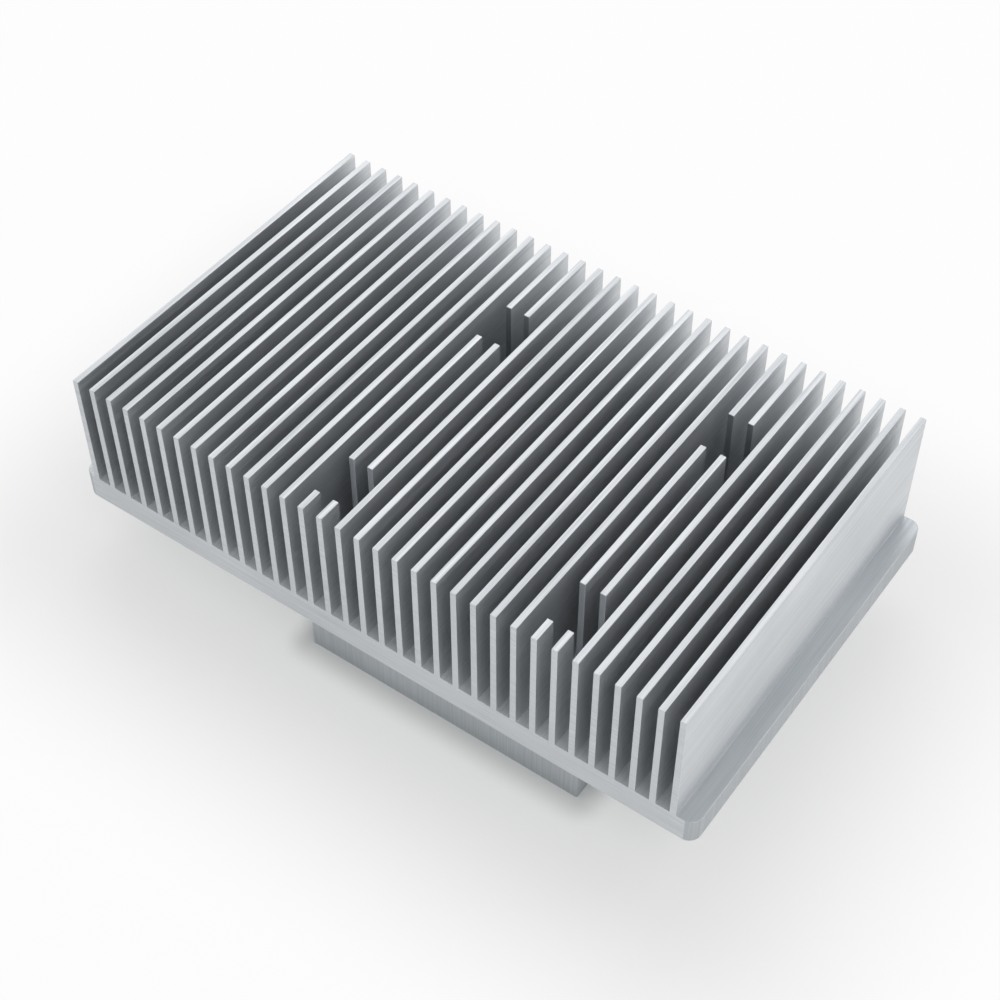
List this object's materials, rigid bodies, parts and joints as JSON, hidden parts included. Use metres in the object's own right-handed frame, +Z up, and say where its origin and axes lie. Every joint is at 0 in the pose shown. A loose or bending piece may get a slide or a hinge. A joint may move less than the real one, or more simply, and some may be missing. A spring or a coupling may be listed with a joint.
{
  "type": "heat spreader",
  "caption": "Flat finned aluminium heat spreader: thin straight fins on a plate with rounded corners, screw wells milled through the fins, and a square contact pad below.",
  "frame": {"origin": "under the middle of the plate, on the underside of the contact pad", "axes": "+X along the row of fins, to the end with the wider bare margin; +Y along each fin, away from the edge that the pad is nearer to; +Z up to the fin tips"},
  "size_m": [0.085, 0.05, 0.027],
  "materials": {
    "aluminium": "machined and clear anodised, satin silver"
  },
  "bodies": {
    "root": {"heat_spreader": "aluminium"}
  },
  "joints": []
}
